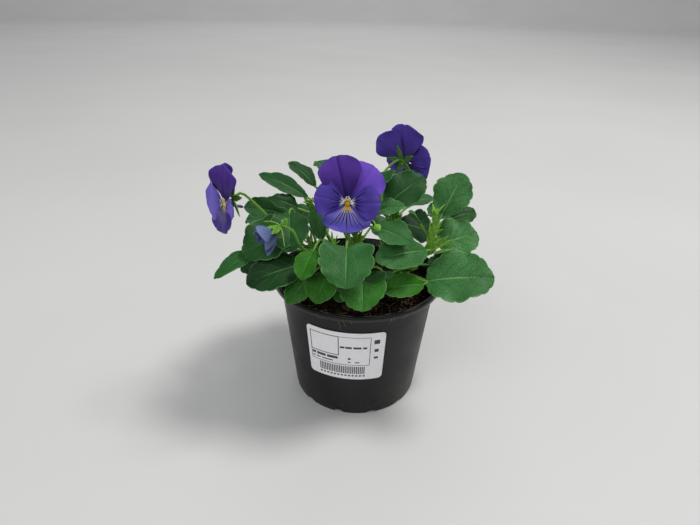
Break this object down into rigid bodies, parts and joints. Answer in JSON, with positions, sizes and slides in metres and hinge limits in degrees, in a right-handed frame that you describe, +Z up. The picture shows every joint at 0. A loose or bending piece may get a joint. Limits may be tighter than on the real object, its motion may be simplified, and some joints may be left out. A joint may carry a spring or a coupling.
{
  "type": "potted horned violet",
  "caption": "Bushy horned violet with violet blooms, a pale bud and toothed leaves, in a round black plastic nursery pot with a blank white label.",
  "frame": {"origin": "middle of the flat disc under the pot, where it stands", "axes": "+Z up along the pot's axis, -Y towards the side with the label and the front bloom, +X to the right seen from there"},
  "size_m": [0.1614, 0.1328, 0.1638],
  "materials": {
    "pot": "black moulded plastic, satin, with a smoother lip",
    "peat": "dark crumbly peat with fibres",
    "label": "matt white paper label",
    "leaf": "soft green leaf, paler along the midrib and edge",
    "petal": "velvety violet petal with a white and yellow eye and dark lines",
    "pistil": "orange-yellow pollen cone",
    "bud": "pale blue furled petals"
  },
  "bodies": {
    "root": {"pot": "pot", "peat": "peat", "label": "label", "stem_front": "leaf", "stem_right": "leaf", "stem_left": "leaf", "stem_middle": "leaf", "stem_rear_left": "leaf", "stem_rear": "leaf", "stem_rear_right": "leaf", "bloom_front_petals": "petal", "bloom_front_pistil": "pistil", "bloom_left_petals": "petal", "bloom_left_pistil": "pistil", "bloom_right_petals": "petal", "bloom_right_pistil": "pistil", "bud_petals": "bud"}
  },
  "joints": []
}
